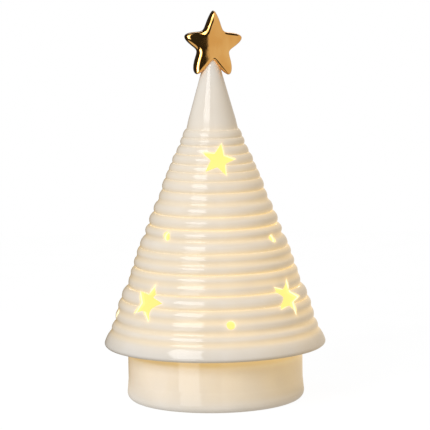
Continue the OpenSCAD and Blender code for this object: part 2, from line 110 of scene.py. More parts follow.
def chained(edges):
    """The vertices of an open chain of edges, in order from its higher end."""
    next_to = {}
    for edge in edges:
        a, b = edge.verts
        next_to.setdefault(a, []).append(b)
        next_to.setdefault(b, []).append(a)
    ends = [vertex for vertex in next_to if len(next_to[vertex]) == 1]
    here, last = max(ends, key=lambda vertex: vertex.co.z), None
    chain = []
    while here is not None:
        chain.append(here)
        onward = [vertex for vertex in next_to[here] if vertex is not last]
        here, last = (onward[0] if onward else None), here
    return chain


def plain_points(points):
    """Drops points that repeat the one before or lie on a straight stretch."""
    kept = [points[0]]
    for i in range(1, len(points) - 1):
        before = points[i] - kept[-1]
        after = points[i + 1] - points[i]
        if before.length < least_step or after.length < no_length:
            continue
        if abs(before.angle_signed(after)) > least_bend:
            kept.append(points[i])
    return kept + [points[-1]]


def is_corner(points, i):
    """True where an outline turns sharply, and at its ends."""
    if i in (0, len(points) - 1):
        return True
    return (points[i] - points[i - 1]).angle(points[i + 1] - points[i]) > sharp_turn


def run_tangents(run, lead_in, lead_out):
    """Directions of a smooth curve at each point of a run. A free end mirrors its neighbour's."""
    steps = [b - a for a, b in zip(run, run[1:])]
    middle = []
    for before, after in zip(steps, steps[1:]):
        from_before = before * after.length / before.length
        from_after = after * before.length / after.length
        middle.append((from_before + from_after).normalized())
    first = lead_in or mirrored(middle[0], steps[0])
    last = lead_out or mirrored(middle[-1], steps[-1])
    return [first] + middle + [last]


def mirrored(direction, chord):
    """A direction reflected about a chord, as at the far end of an arc."""
    along = chord.normalized()
    return 2 * direction.dot(along) * along - direction


def curve_points(run, tangents):
    """Points of a Hermite curve through a run, close together."""
    made = [run[0]]
    for i in range(len(run) - 1):
        chord = (run[i + 1] - run[i]).length
        count = max(2, math.ceil(chord / fine_step))
        for k in range(1, count + 1):
            t = k / count
            made.append(
                run[i] * (2 * t**3 - 3 * t**2 + 1)
                + tangents[i] * chord * (t**3 - 2 * t**2 + t)
                + run[i + 1] * (3 * t**2 - 2 * t**3)
                + tangents[i + 1] * chord * (t**3 - t**2)
            )
    return made


def straight_points(run):
    """Evenly spaced points of a straight run."""
    count = max(1, math.ceil((run[1] - run[0]).length / long_step))
    return [run[0].lerp(run[1], k / count) for k in range(count + 1)]


def run_length(run):
    """Length of a run along its points."""
    return sum((b - a).length for a, b in zip(run, run[1:]))


def shortened(run, size):
    """A run without its last stretch of the given length."""
    left = size
    kept = list(run)
    while left > 0:
        stretch = (kept[-1] - kept[-2]).length
        if stretch > left:
            kept[-1] = kept[-1].lerp(kept[-2], left / stretch)
            break
        left -= stretch
        kept.pop()
    return kept


def outline_breaks(points):
    """Indexes of the points where runs meet: corners, and the ends of long stretches."""
    breaks = [0]
    for i in range(1, len(points) - 1):
        longest = max((points[i] - points[i - 1]).length, (points[i + 1] - points[i]).length)
        if is_corner(points, i) or longest > long_stretch:
            breaks.append(i)
    return breaks + [len(points) - 1]


def outline_run(points, a, b):
    """Close points of the outline from one break to the next, straight or smoothly curved."""
    run = points[a : b + 1]
    if len(run) == 2:
        return straight_points(run)
    lead_in = None if is_corner(points, a) else (points[a] - points[a - 1]).normalized()
    lead_out = None if is_corner(points, b) else (points[b + 1] - points[b]).normalized()
    return curve_points(run, run_tangents(run, lead_in, lead_out))


def rounded_joint(coming, corner, going, size):
    """Two runs joined by a curve that begins and ends a given length from their corner."""
    coming = shortened(coming, size)
    going = shortened(going[::-1], size)[::-1]
    bend = []
    for t in (1 / 6, 2 / 6, 3 / 6, 4 / 6, 5 / 6):
        bend.append(coming[-1].lerp(corner, t).lerp(corner.lerp(going[0], t), t))
    return coming + bend + going


def smooth_outline(points, corner_size):
    """The outline with smooth curves between its corners, each rounded by its own size, and the corners."""
    breaks = outline_breaks(points)
    runs = [outline_run(points, a, b) for a, b in zip(breaks, breaks[1:])]
    made = runs[0]
    corners = []
    for k in range(1, len(runs)):
        if not is_corner(points, breaks[k]):
            made = made + runs[k][1:]
            continue
        corner = points[breaks[k]]
        corners.append(corner)
        shorter = min(run_length(runs[k - 1]), run_length(runs[k]))
        size = min(corner_size(corner), corner_share * shorter)
        made = rounded_joint(made, corner, runs[k], size)
    return made, corners


def unevenness(turn, height):
    """Slight inward wander of a hand-finished wall, from 0 to 1."""
    slow = math.sin(2 * turn + height / (21 * mm) + 0.6)
    quick = math.sin(5 * turn - height / (13 * mm) + 2.1)
    return 0.5 + 0.32 * slow + 0.18 * quick


def turned_mesh(name, outline, wander):
    """Mesh of an outline turned round the axis. Its first and last points lie on the axis."""
    vertices = [(0, 0, outline[0].y)]
    for point in outline[1:-1]:
        for j in range(sides):
            turn = 2 * math.pi * j / sides
            radius = point.x * (1 - wander * unevenness(turn, point.y))
            vertices.append((radius * math.sin(turn), -radius * math.cos(turn), point.y))
    vertices.append((0, 0, outline[-1].y))
    return ringed_mesh(name, vertices, sides)


def ringed_mesh(name, vertices, around):
    """Closed mesh of a first point, rings of points and a last point."""
    rings = (len(vertices) - 2) // around
    faces = []
    for j in range(around):
        here, beside = 1 + j, 1 + (j + 1) % around
        faces.append((0, here, beside))
        for i in range(rings - 1):
            faces.append((here, here + around, beside + around, beside))
            here += around
            beside += around
        faces.append((here, len(vertices) - 1, beside))
    mesh = bpy.data.meshes.new(name)
    mesh.from_pydata(vertices, [], faces)
    face_outwards(mesh)
    return mesh


def face_outwards(mesh):
    """Turns a closed mesh's faces outwards."""
    bm = bmesh.new()
    bm.from_mesh(mesh)
    bmesh.ops.recalc_face_normals(bm, faces=bm.faces)
    bm.to_mesh(mesh)
    bm.free()


def new_piece(name, mesh):
    """A smooth-shaded object of a mesh, in the scene."""
    piece = bpy.data.objects.new(name, mesh)
    bpy.context.scene.collection.objects.link(piece)
    shade_smoothly(mesh)
    return piece


def shade_smoothly(mesh):
    """Smooth shading that keeps sharp edges."""
    mesh.shade_smooth()
    mesh.set_sharp_from_angle(angle=sharp_edge)


# Cut-outs of the shade
def star_outline(diameter):
    """Outline of a cut-out star with its first point upwards, its points and notches slightly rounded."""
    notch_share = 0.44
    corner = 0.5 * mm
    points = []
    for i in range(10):
        reach = diameter / 2 * (notch_share if i % 2 else 1)
        turn = 36 * i * degree
        points.append(Vector((reach * math.sin(turn), reach * math.cos(turn))))
    rounded = []
    for i in range(10):
        before = points[i] + (points[i - 1] - points[i]).normalized() * corner
        after = points[i] + (points[(i + 1) % 10] - points[i]).normalized() * corner
        for t in (0, 0.25, 0.5, 0.75, 1):
            rounded.append(before.lerp(points[i], t).lerp(points[i].lerp(after, t), t))
    return rounded


def dot_outline(diameter):
    """Outline of a round hole."""
    count = 48
    turns = [2 * math.pi * i / count for i in range(count)]
    return [Vector((math.sin(turn), math.cos(turn))) * diameter / 2 for turn in turns]


def on_cone(turn, height, tilt=0):
    """Places a cut-out on the cone, with its own Z square to the wall. The angles are in degrees."""
    place = Matrix.Rotation(turn * degree, 4, "Z")
    place = place @ Matrix.Translation((0, -cone_r(height), height))
    place = place @ Matrix.Rotation(math.pi / 2 - slope, 4, "X")
    return place @ Matrix.Rotation(-tilt * degree, 4, "Z")


def cut_outs():
    """Outline and place of each cut-out, with the front ones first in each row."""
    made = []
    for turn, tilt in ((8.9, 14), (125, -10), (-113, 6)):
        made.append((star_outline(upper_star_d), on_cone(turn, upper_star_z, tilt)))
    for turn, stray, tilt in ((-45.9, -0.8, 14), (52.8, 1, 22), (184, 0.2, -9)):
        made.append((star_outline(lower_star_d), on_cone(turn, lower_star_z + star_stray * stray, tilt)))
    for turn, stray in ((-42.5, 0.9), (56.2, -1), (186, 0.3)):
        made.append((dot_outline(dot_d), on_cone(turn, upper_dot_z + dot_stray * stray)))
    for turn in (9.1, -80.6, 98, -157):
        made.append((dot_outline(dot_d), on_cone(turn, lower_dot_z)))
    return made


def cutter_mesh(holes):
    """One mesh with a prism through the wall for each cut-out."""
    reach = 9 * mm
    vertices = []
    faces = []
    for outline, place in holes:
        start = len(vertices)
        count = len(outline)
        for depth in (-reach, reach):
            for point in outline:
                vertices.append(place @ Vector((point.x, point.y, depth)))
        faces.append([start + i for i in range(count)])
        faces.append([start + count + i for i in range(count)][::-1])
        for i in range(count):
            j = (i + 1) % count
            faces.append((start + i, start + count + i, start + count + j, start + j))
    mesh = bpy.data.meshes.new("cutter")
    mesh.from_pydata(vertices, [], faces)
    face_outwards(mesh)
    return mesh


def cut_away(piece, cutter):
    """Takes a cutter's solids out of a piece. The walls of the cut take the cutter's material index."""
    tool = bpy.data.objects.new("cutter", cutter)
    bpy.context.scene.collection.objects.link(tool)
    step = piece.modifiers.new("cut", "BOOLEAN")
    step.operation = "DIFFERENCE"
    step.solver = "EXACT"
    step.object = tool
    step.material_mode = "INDEX"
    made = bpy.data.meshes.new_from_object(piece.evaluated_get(bpy.context.evaluated_depsgraph_get()))
    piece.modifiers.clear()
    piece.data = made
    bpy.data.objects.remove(tool)


# Node trees
def add(tree, kind, values=None, **settings):
    """A node with its settings, and its inputs set to plain values or linked to sockets."""
    node = tree.nodes.new(kind)
    for name, setting in settings.items():
        setattr(node, name, setting)
    for name, value in (values or {}).items():
        if isinstance(value, bpy.types.NodeSocket):
            tree.links.new(value, node.inputs[name])
        else:
            node.inputs[name].default_value = value
    return node


def maths(tree, operation, *values):
    """The result of a Math node."""
    return add(tree, "ShaderNodeMath", dict(enumerate(values)), operation=operation).outputs[0]


def joined(tree, operation, *values):
    """The result of one operation on several values, from first to last."""
    made = values[0]
    for value in values[1:]:
        made = maths(tree, operation, made, value)
    return made


def ramp(tree, value, low, high, to_low=0.0, to_high=1.0, smooth=True):
    """A value carried from one range to another and held at its ends."""
    kind = "SMOOTHSTEP" if smooth else "LINEAR"
    values = {"Value": value, "From Min": low, "From Max": high, "To Min": to_low, "To Max": to_high}
    return add(tree, "ShaderNodeMapRange", values, interpolation_type=kind).outputs["Result"]


def window(tree, value, low, high, edge):
    """1 between two limits and 0 outside them, with soft edges."""
    rise = ramp(tree, value, low - edge, low + edge)
    fall = ramp(tree, value, high - edge, high + edge, 1, 0)
    return maths(tree, "MULTIPLY", rise, fall)


def spread(tree, noise, low=0.0, high=1.0):
    """Noise, which mostly lies between 0.3 and 0.7, spread over another range."""
    return ramp(tree, noise, 0.3, 0.7, low, high)


def own_place(tree):
    """The object's own coordinates."""
    return add(tree, "ShaderNodeTexCoord").outputs["Object"]


def own_part(tree, axis):
    """One of the object's own coordinates."""
    return add(tree, "ShaderNodeSeparateXYZ", {"Vector": own_place(tree)}).outputs[axis]


def length_of(tree, vector):
    """The length of a vector."""
    return add(tree, "ShaderNodeVectorMath", {0: vector}, operation="LENGTH").outputs["Value"]


def kept_value(tree, name):
    """The value that set_values keeps under a name."""
    return add(tree, "ShaderNodeAttribute", attribute_name=name).outputs["Fac"]


def grain(tree, scale, detail=2.0, stretch=(1, 1, 1)):
    """Noise in the object's own coordinates, at a scale per metre."""
    place = add(tree, "ShaderNodeMapping", {"Vector": own_place(tree), "Scale": stretch}).outputs[0]
    values = {"Vector": place, "Scale": scale, "Detail": detail}
    return add(tree, "ShaderNodeTexNoise", values).outputs["Fac"]


def blend_colours(tree, share, first, second):
    """A colour between two others. The node's inputs 6 and 7 and its output 2 are its colours."""
    node = add(tree, "ShaderNodeMix", {"Factor": share}, data_type="RGBA")
    for socket, value in ((node.inputs[6], first), (node.inputs[7], second)):
        if isinstance(value, bpy.types.NodeSocket):
            tree.links.new(value, socket)
        else:
            socket.default_value = (*value, 1)
    return node.outputs[2]


def relief(tree, height, distance, below=None):
    """The normal of a bumpy surface, over another relief if one is given."""
    values = {"Height": height, "Distance": distance}
    if below is not None:
        values["Normal"] = below
    return add(tree, "ShaderNodeBump", values).outputs["Normal"]


def new_material(name):
    """A material with its node tree and its Principled shader."""
    made = bpy.data.materials.new(name)
    made.use_nodes = True
    return made, made.node_tree, made.node_tree.nodes["Principled BSDF"]


def feed(tree, shader, **sources):
    """Links or sets a shader's inputs, named with underscores for spaces."""
    for name, value in sources.items():
        socket = shader.inputs[name.replace("_", " ")]
        if isinstance(value, bpy.types.NodeSocket):
            tree.links.new(value, socket)
        else:
            socket.default_value = value


# Materials
def porcelain_material():
    """White glaze over porcelain with a bare foot ring. Light from inside and shade are painted on."""
    made, tree, shader = new_material("porcelain")
    height = own_part(tree, "Z")
    glazed = ramp(tree, height, 0.3 * mm, 0.8 * mm)
    cloud = ramp(tree, grain(tree, 45, 3), 0.35, 0.65)
    body = blend_colours(tree, cloud, (0.82, 0.825, 0.81), (0.86, 0.87, 0.87))
    tip = blend_colours(tree, cloud, (0.92, 0.905, 0.87), (0.95, 0.94, 0.91))
    glaze = blend_colours(tree, ramp(tree, height, 148 * mm, 158 * mm), body, tip)
    # Painted shade: darker glaze in the shade's grooves and on the bowl's right side
    glaze = blend_colours(tree, kept_value(tree, "painted_shade"), glaze, (0.69, 0.705, 0.685))
    # Painted shadow: darker glaze on the bowl's shoulder under the shade's rim
    painted_rim_shadow = window(tree, height, 26 * mm, 31 * mm, 1.4 * mm)
    glaze = blend_colours(tree, painted_rim_shadow, glaze, (0.5, 0.47, 0.42))
    biscuit = blend_colours(tree, grain(tree, 1600), (0.66, 0.62, 0.54), (0.78, 0.74, 0.67))
    shine = spread(tree, grain(tree, 150, 3), 0.035, 0.09)
    roughness = add(tree, "ShaderNodeMix", {"Factor": glazed, "A": 0.75, "B": shine}).outputs["Result"]
    soft = relief(tree, grain(tree, 110, 1, (1, 1, 2.5)), 0.05 * mm)
    normal = relief(tree, grain(tree, 1300, 1), 0.0025 * mm, soft)
    flicker = spread(tree, grain(tree, 70, 2), 0.95, 1.05)
    feed(
        tree,
        shader,
        Base_Color=blend_colours(tree, glazed, biscuit, glaze),
        Roughness=roughness,
        IOR=1.43,
        Normal=normal,
        Emission_Color=(1, 0.62, 0.165, 1),
        # Painted light: the glow stands in for the lamp's light shining through the wall
        Emission_Strength=maths(tree, "MULTIPLY", kept_value(tree, "glow"), flicker),
    )
    return made


def lit_material(name, low, high, albedo, heights, strengths):
    """Glaze that faces the light inside, with that light painted on as glow. Its strength goes from one
    value to another between two heights.
    """
    made, tree, shader = new_material(name)
    cloud = spread(tree, grain(tree, 60, 3))
    feed(
        tree,
        shader,
        Base_Color=blend_colours(tree, cloud, albedo, [0.8 * part for part in albedo]),
        Roughness=spread(tree, grain(tree, 150), 0.3, 0.42),
        IOR=1.4,
        Normal=relief(tree, grain(tree, 400), 0.02 * mm),
        Emission_Color=blend_colours(tree, cloud, low, high),
        Emission_Strength=ramp(tree, own_part(tree, "Z"), *heights, *strengths),
    )
    return made


def edge_material():
    """Walls of the cut-outs, their light from inside painted on: warm at the lip, then a white band, then
    yellow as the inside is.
    """
    made, tree, shader = new_material("cut_edge")
    values = {0: own_place(tree), 1: (1, 1, 0)}
    flat = add(tree, "ShaderNodeVectorMath", values, operation="MULTIPLY").outputs[0]
    surface = ramp(tree, own_part(tree, "Z"), rim_z, ridges_top_z, rim_r, ridges_top_r, smooth=False)
    depth = maths(tree, "SUBTRACT", surface, length_of(tree, flat))
    tone = blend_colours(tree, ramp(tree, depth, 0, 0.6 * mm), (1, 0.84, 0.36), (1, 0.98, 0.7))
    tone = blend_colours(tree, ramp(tree, depth, 1.0 * mm, 1.7 * mm), tone, (1, 0.865, 0.275))
    feed(
        tree,
        shader,
        Base_Color=blend_colours(tree, grain(tree, 90, 3), (0.2, 0.19, 0.14), (0.16, 0.15, 0.1)),
        Roughness=spread(tree, grain(tree, 150), 0.3, 0.42),
        IOR=1.4,
        Normal=relief(tree, grain(tree, 400), 0.02 * mm),
        Emission_Color=tone,
        Emission_Strength=spread(tree, grain(tree, 80), 0.94, 1.0),
    )
    return made


def gold_material():
    """Gold lustre fired over a glazed, hand-finished star."""
    made, tree, shader = new_material("gold_lustre")
    patchy = grain(tree, 130, 2, (1, 1, 0.5))
    tone = blend_colours(tree, spread(tree, patchy), (0.88, 0.425, 0.1), (0.98, 0.53, 0.155))
    soft = relief(tree, grain(tree, 120, 2), 0.04 * mm)
    feed(
        tree,
        shader,
        Base_Color=tone,
        Metallic=1.0,
        Roughness=spread(tree, grain(tree, 260, 4), 0.025, 0.06),
        Normal=relief(tree, grain(tree, 1500, 2), 0.001 * mm, soft),
        Coat_Weight=0.25,
        Coat_Roughness=0.04,
    )
    return made


def plastic_material(name, dark, light, roughness, spark=900):
    """Moulded plastic with a fine spark-eroded grain."""
    made, tree, shader = new_material(name)
    feed(
        tree,
        shader,
        Base_Color=blend_colours(tree, spread(tree, grain(tree, 120, 3)), dark, light),
        Roughness=spread(tree, grain(tree, 700), roughness - 0.07, roughness + 0.07),
        Normal=relief(tree, grain(tree, spark, 2), 0.02 * mm),
    )
    return made


def flame_material():
    """Milky plastic flame, brightest round the lamp."""
    made, tree, shader = new_material("flame_plastic")
    up = ramp(tree, own_part(tree, "Z"), 19 * mm, 41 * mm, smooth=False)
    low = ramp(tree, up, 0, 0.35, 0.55, 1)
    high = ramp(tree, up, 0.35, 1, 1, 0.62)
    tone = blend_colours(tree, up, (1, 0.83, 0.42), (1, 0.6, 0.2))
    ripple = spread(tree, grain(tree, 240, 2, (1, 1, 0.4)), 0.93, 1.07)
    feed(
        tree,
        shader,
        Base_Color=blend_colours(tree, grain(tree, 200), (0.84, 0.78, 0.66), (0.9, 0.86, 0.76)),
        Roughness=spread(tree, grain(tree, 500), 0.28, 0.4),
        Normal=relief(tree, grain(tree, 320, 2, (1, 1, 0.5)), 0.05 * mm),
        Emission_Color=tone,
        Emission_Strength=joined(tree, "MULTIPLY", low, high, ripple),
    )
    return made


def lens_material():
    """Amber epoxy of the lit lamp."""
    made, tree, shader = new_material("lamp_lens")
    feed(
        tree,
        shader,
        Base_Color=blend_colours(tree, grain(tree, 900), (0.9, 0.72, 0.4), (0.95, 0.8, 0.5)),
        Roughness=spread(tree, grain(tree, 800), 0.05, 0.12),
        Normal=relief(tree, grain(tree, 1500), 0.004 * mm),
        Emission_Color=blend_colours(tree, grain(tree, 500), (1, 0.74, 0.32), (1, 0.84, 0.45)),
        Emission_Strength=ramp(tree, own_part(tree, "Z"), 14 * mm, 20 * mm, 0.8, 1.6),
    )
    return made


def board_material():
    """Green solder mask over glass cloth and copper tracks."""
    made, tree, shader = new_material("board_green")
    place = own_place(tree)
    weave = add(tree, "ShaderNodeTexWave", {"Vector": place, "Scale": 300.0, "Distortion": 0.4})
    cells = add(tree, "ShaderNodeTexVoronoi", {"Vector": place, "Scale": 330.0}, distance="CHEBYCHEV")
    track = ramp(tree, cells.outputs["Distance"], 0.3, 0.34)
    cloth = blend_colours(tree, weave.outputs["Fac"], (0.012, 0.13, 0.045), (0.02, 0.17, 0.06))
    feed(
        tree,
        shader,
        Base_Color=blend_colours(tree, track, cloth, (0.03, 0.24, 0.08)),
        Roughness=spread(tree, grain(tree, 600), 0.25, 0.4),
        Normal=relief(tree, track, 0.03 * mm),
    )
    return made


def metal_material(name, dark, light, rough_low, rough_high, stretch=(1, 1, 1)):
    """Plated or rolled metal with fine scratches and dull patches."""
    made, tree, shader = new_material(name)
    scratches = grain(tree, 900, 3, stretch)
    feed(
        tree,
        shader,
        Base_Color=blend_colours(tree, spread(tree, grain(tree, 220, 3)), dark, light),
        Metallic=1.0,
        Roughness=spread(tree, scratches, rough_low, rough_high),
        Normal=relief(tree, scratches, 0.006 * mm),
    )
    return made


# Glow of the walls: levels, what the right side has more, and how far each reaches
crest_glow = 0.255
groove_glow = 0.485
hole_glow = 0.26
shade_side_glow = 0.035
bowl_side_glow = 0.03
groove_reach = 2.1 * mm
hole_fade = 0.8 * mm
hole_zone_depth = 9 * mm
hole_zone_r = 18 * mm


def set_values(mesh, name, values):
    """Keeps one value for each vertex of a mesh."""
    mesh.attributes.new(name, "FLOAT", "POINT").data.foreach_set("value", np.asarray(values, np.float32))


def mesh_points(mesh):
    """Each vertex of a mesh, with its radius and azimuth."""
    flat = np.zeros(len(mesh.vertices) * 3, np.float32)
    mesh.vertices.foreach_get("co", flat)
    points = flat.reshape(-1, 3).astype(float)
    return points, np.hypot(points[:, 0], points[:, 1]), np.arctan2(points[:, 0], -points[:, 1])


def outline_distance(points, outline, weights=None):
    """Distance of each flat point from a closed outline, whose stretches may each have a weight."""
    nearest = np.full(len(points), 1e9)
    for i in range(len(outline)):
        start = np.array(outline[i - 1])
        step = np.array(outline[i]) - start
        share = np.clip((points - start) @ step / (step @ step), 0, 1)
        distance = np.linalg.norm(points - start - share[:, None] * step, axis=1)
        nearest = np.minimum(nearest, distance * (1 if weights is None else weights[i]))
    return nearest


def depth_in_grooves(radius, height, grooves):
    """From 0 on the crests to 1 at the bottom of a groove, and less in the upper grooves."""
    near = np.full(len(radius), 1e9)
    for groove in grooves:
        near = np.minimum(near, np.hypot(radius - groove.x, height - groove.y))
    in_groove = np.exp(-((near / groove_reach) ** 2))
    return in_groove * np.interp(height, [100 * mm, 150 * mm], [1, 0.35])


def height_shares(turn, height):
    """Shares of the shade's glow that are left towards the tip, and at the rim, more at its right."""
    steps = [115 * mm, 145 * mm, ridges_top_z, 157 * mm, 178 * mm, 190 * mm, 198 * mm]
    cone = np.interp(height, steps, [1, 0.88, 0.82, 0.73, 0.6, 0.4, 0.3])
    rim = np.interp(height, [30 * mm, 33 * mm, 36 * mm, 40 * mm], [0.35, 0.55, 0.78, 1])
    rim += 0.3 * (1 - rim) * (1 + np.sin(turn))
    return cone, rim


def hole_distance(points, outline, place):
    """Which points are close to a cut-out, and how far these are from its edge."""
    turned_back = np.array(place.inverted())
    local = points @ turned_back[:3, :3].T + turned_back[:3, 3]
    aside = np.linalg.norm(local[:, :2], axis=1)
    close = (np.abs(local[:, 2]) < hole_zone_depth) & (aside < hole_zone_r)
    return close, outline_distance(local[close][:, :2], outline)


def shade_glow(mesh, grooves, holes):
    """Glow of the shade: brighter in the grooves and beside the cut-outs, fading at the rim and the tip.
    Painted shade in the grooves.
    """
    points, radius, turn = mesh_points(mesh)
    height = points[:, 2]
    in_groove = depth_in_grooves(radius, height, grooves)
    left_share = np.interp(np.sin(turn), [-0.8, 0], [0.65, 1])
    crest = crest_glow + shade_side_glow * np.sin(turn)
    cone, rim = height_shares(turn, height)
    glow = (crest + (groove_glow - crest_glow) * in_groove * left_share) * cone * rim
    for outline, place in holes:
        close, distance = hole_distance(points, outline, place)
        glow[close] += hole_glow * np.exp(-distance / hole_fade)
    set_values(mesh, "glow", glow)
    # Painted shade: darker glaze in the grooves
    set_values(mesh, "painted_shade", in_groove)


# Heights that the hollow side of the shade ends at and that of the bowl begins at
shade_hollow_top_z = 184.2 * mm
bowl_hollow_low_z = 3 * mm


def is_inside_shade(radius, height):
    """True for points on the hollow side of the shade's wall."""
    outer = np.interp(height, [flange_z, ridges_top_z, tip_z], [cone_r(flange_z), ridges_top_r, tip_r])
    part_wall = np.interp(height, [flange_z, ridges_top_z, 184 * mm], [2.6 * mm, 1.6 * mm, 1.9 * mm])
    in_hollow = (height > flange_z - 0.2 * mm) & (height < shade_hollow_top_z)
    return (radius < outer - part_wall) & in_hollow


def bowl_glow(mesh):
    """Glow of the bowl: stronger towards the shoulder, and weak on the parts near the axis. Painted shade on
    its right side.
    """
    points, radius, turn = mesh_points(mesh)
    height = points[:, 2]
    steps = [0, 3.5 * mm, 8 * mm, 13.5 * mm, 24 * mm, 27 * mm]
    glow = np.interp(height, steps, [0.1, 0.2, 0.305, 0.355, 0.4, 0.56]) + bowl_side_glow * np.sin(turn)
    glow[radius < 40 * mm] *= 0.35
    set_values(mesh, "glow", glow)
    # Painted shade: darker glaze towards the right side, above the foot
    painted_right_shade = np.interp(height, [3 * mm, 8 * mm], [0, 1]) * (0.45 + 0.75 * np.sin(turn))
    set_values(mesh, "painted_shade", np.clip(painted_right_shade, 0, 1))


def is_inside_bowl(radius, height):
    """True for points on the hollow side of the bowl's wall and floor."""
    wall = np.interp(height, [26 * mm, 28 * mm, 30 * mm], [48 * mm, 44 * mm, 42 * mm])
    return (height > bowl_hollow_low_z) & (radius < wall)


def paint_inside(mesh, is_inside, index):
    """Gives a material to the faces on the hollow side of a wall."""
    for face in mesh.polygons:
        centre = face.center
        if face.material_index == 0 and is_inside(math.hypot(centre.x, centre.y), centre.z):
            face.material_index = index


# Porcelain pieces
groove_round = 2.2 * mm
edge_round = 0.5 * mm
groove_extra = 0.3 * mm
waist_z = 43 * mm
waist_half = 8 * mm
waist_depth = 0.45 * mm
ridge_zone = 2.4 * mm
shade_wander = 0.0022
bowl_wander = 0.0012


def is_outside(point):
    """True for a point of the shade's outline on its ridged outside."""
    return point.x > cone_r(point.y) - ridge_zone


def is_groove(corner):
    """True for a corner of the shade's outline that lies between two ridges."""
    return rim_z + mm < corner.y < ridges_top_z + mm and is_outside(corner)


def shade_rounding(corner):
    """Size of the rounding at a corner of the shade's outline."""
    return groove_round if is_groove(corner) else edge_round


def bowl_rounding(corner):
    """Size of the rounding at a corner of the bowl's outline."""
    return edge_round


def refined(section):
    """The section with deeper grooves, which their rounding makes up for, and a waist above the rim."""
    inwards = Vector((-math.cos(slope), -math.sin(slope)))
    made = []
    for i, point in enumerate(section):
        share = (point.y - waist_z) / waist_half
        depth = 0
        if abs(share) < 1 and is_outside(point):
            depth = waist_depth * math.cos(share * math.pi / 2) ** 2
        if 0 < i < len(section) - 1 and is_corner(section, i) and is_groove(point):
            depth += groove_extra
        made.append(point + inwards * depth)
    return made


def make_shade(porcelain, inside, edge):
    """The ridged cone with its cut-outs."""
    section = half_section("tree_shade", plain_turn)
    outline, corners = smooth_outline(refined(section), shade_rounding)
    grooves = [corner for corner in corners if is_groove(corner)]
    piece = new_piece("porcelain_shade", turned_mesh("porcelain_shade", outline, shade_wander))
    holes = cut_outs()
    cutter = cutter_mesh(holes)
    for mesh in (piece.data, cutter):
        for surface in (porcelain, inside, edge):
            mesh.materials.append(surface)
    cutter.polygons.foreach_set("material_index", [2] * len(cutter.polygons))
    cut_away(piece, cutter)
    piece.data.name = "porcelain_shade"
    shade_smoothly(piece.data)
    paint_inside(piece.data, is_inside_shade, 1)
    shade_glow(piece.data, grooves, holes)
    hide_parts("tree_shade")
    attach(piece, "shade")


def make_bowl(porcelain, inside):
    """The round base with its foot ring, shoulder and collar."""
    outline = smooth_outline(half_section("base_bowl", plain_turn), bowl_rounding)[0]
    piece = new_piece("porcelain_bowl", turned_mesh("porcelain_bowl", outline, bowl_wander))
    for surface in (porcelain, inside):
        piece.data.materials.append(surface)
    paint_inside(piece.data, is_inside_bowl, 1)
    bowl_glow(piece.data)
    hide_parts("base_bowl")
    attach(piece, "base")


# Gold star: angles in degrees from its top arm, and reaches from its centre
valley_turns = (36, 109, 180)
arm_turns = (0, 72.5, 149.5)
valley_reaches = (10.1 * mm, 9.6 * mm, 8.2 * mm)
arm_reaches = (19.4 * mm, 16.6 * mm, 18.5 * mm)
arm_round_shares = (0.08, 0.24, 0.26)
star_edge_half = 2.5 * mm
star_roll = 2.5 * mm
star_roll_reach = 4.2 * mm
star_dome = 0.65 * mm
star_shift = 1 * mm
star_rise = 6.1 * mm
star_tilt = 1.7 * degree
star_turn = 4.5 * degree
star_rings = 36
star_sides = 240


def soft_step(x, rounding):
    """From 0 to 1 in a straight line whose start is rounded off."""
    return (math.hypot(x, rounding) - rounding) / (math.sqrt(1 + rounding * rounding) - rounding)


def arm_at(turn):
    """The arm whose valleys enclose an angle of the star's right half."""
    return next(i for i in range(3) if turn <= valley_turns[i])


def star_reach(turn):
    """Reach of the gold star's outline at an angle. Its left half mirrors the right one."""
    turn = min(turn, 360 - turn)
    arm = arm_at(turn)
    valley = arm if turn >= arm_turns[arm] else arm - 1
    x = abs(turn - arm_turns[arm]) / abs(valley_turns[valley] - arm_turns[arm])
    rise = (1 - soft_step(x, arm_round_shares[arm])) ** 2
    return valley_reaches[valley] + (arm_reaches[arm] - valley_reaches[valley]) * rise


def gold_star_outline():
    """Flat points of the gold star's outline."""
    turns = [2 * math.pi * j / star_sides for j in range(star_sides)]
    outline = np.array([(math.sin(turn), math.cos(turn)) for turn in turns])
    reaches = np.array([star_reach(360 * j / star_sides) for j in range(star_sides)])
    return outline * reaches[:, None]


def star_depth(points, outline):
    """Half thickness of the star at flat points: domed, and rolled over at its edge."""
    turns = 180 - np.abs(180 - np.degrees(np.arctan2(*outline.T)) % 360)
    tightness = np.interp(turns, [0, 25, 55, 142, 152], [1.4, 1.4, 1, 1, 2.6])
    distance = outline_distance(points, outline, tightness)
    flatness = 1 - np.minimum(distance / star_roll_reach, 1)
    roll = star_roll * np.sqrt(np.maximum(1 - flatness**2, 0))
    far = np.linalg.norm(points, axis=1) / max(arm_reaches)
    return star_edge_half + roll + star_dome * (1 - far**2)


def star_vertices():
    """The skin from the middle of the star's front to that of its back, with rings crowded at its edge."""
    outline = gold_star_outline()
    shares = [math.sin(math.pi / 2 * k / star_rings) ** 0.7 for k in range(1, star_rings + 1)]
    front = [(outline * share, star_depth(outline * share, outline)) for share in shares]
    middle = star_depth(np.zeros((1, 2)), outline)[0]
    vertices = [(0, -middle, 0)]
    for side, part in ((-1, front), (1, front[::-1])):
        for ring, depths in part:
            for point, depth in zip(ring, depths):
                vertices.append((point[0], side * depth, point[1]))
    return vertices + [(0, middle, 0)]


def make_gold_star(gold):
    """The puffy star on the tip, turned and tilted slightly."""
    place = Matrix.Translation((star_shift, 0, tip_z + star_rise))
    place = place @ Matrix.Rotation(star_tilt, 4, "Y") @ Matrix.Rotation(star_turn, 4, "Z")
    vertices = [place @ Vector(vertex) for vertex in star_vertices()]
    piece = new_piece("gold_lustre_star", ringed_mesh("gold_lustre_star", vertices, star_sides))
    piece.data.materials.append(gold)
    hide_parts("gold_star")
    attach(piece, "shade")
    return piece


def dress(nodes, surface):
    """Gives CAD nodes a material."""
    for name in nodes:
        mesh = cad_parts[name].data
        for i in range(len(mesh.materials)):
            mesh.materials[i] = surface


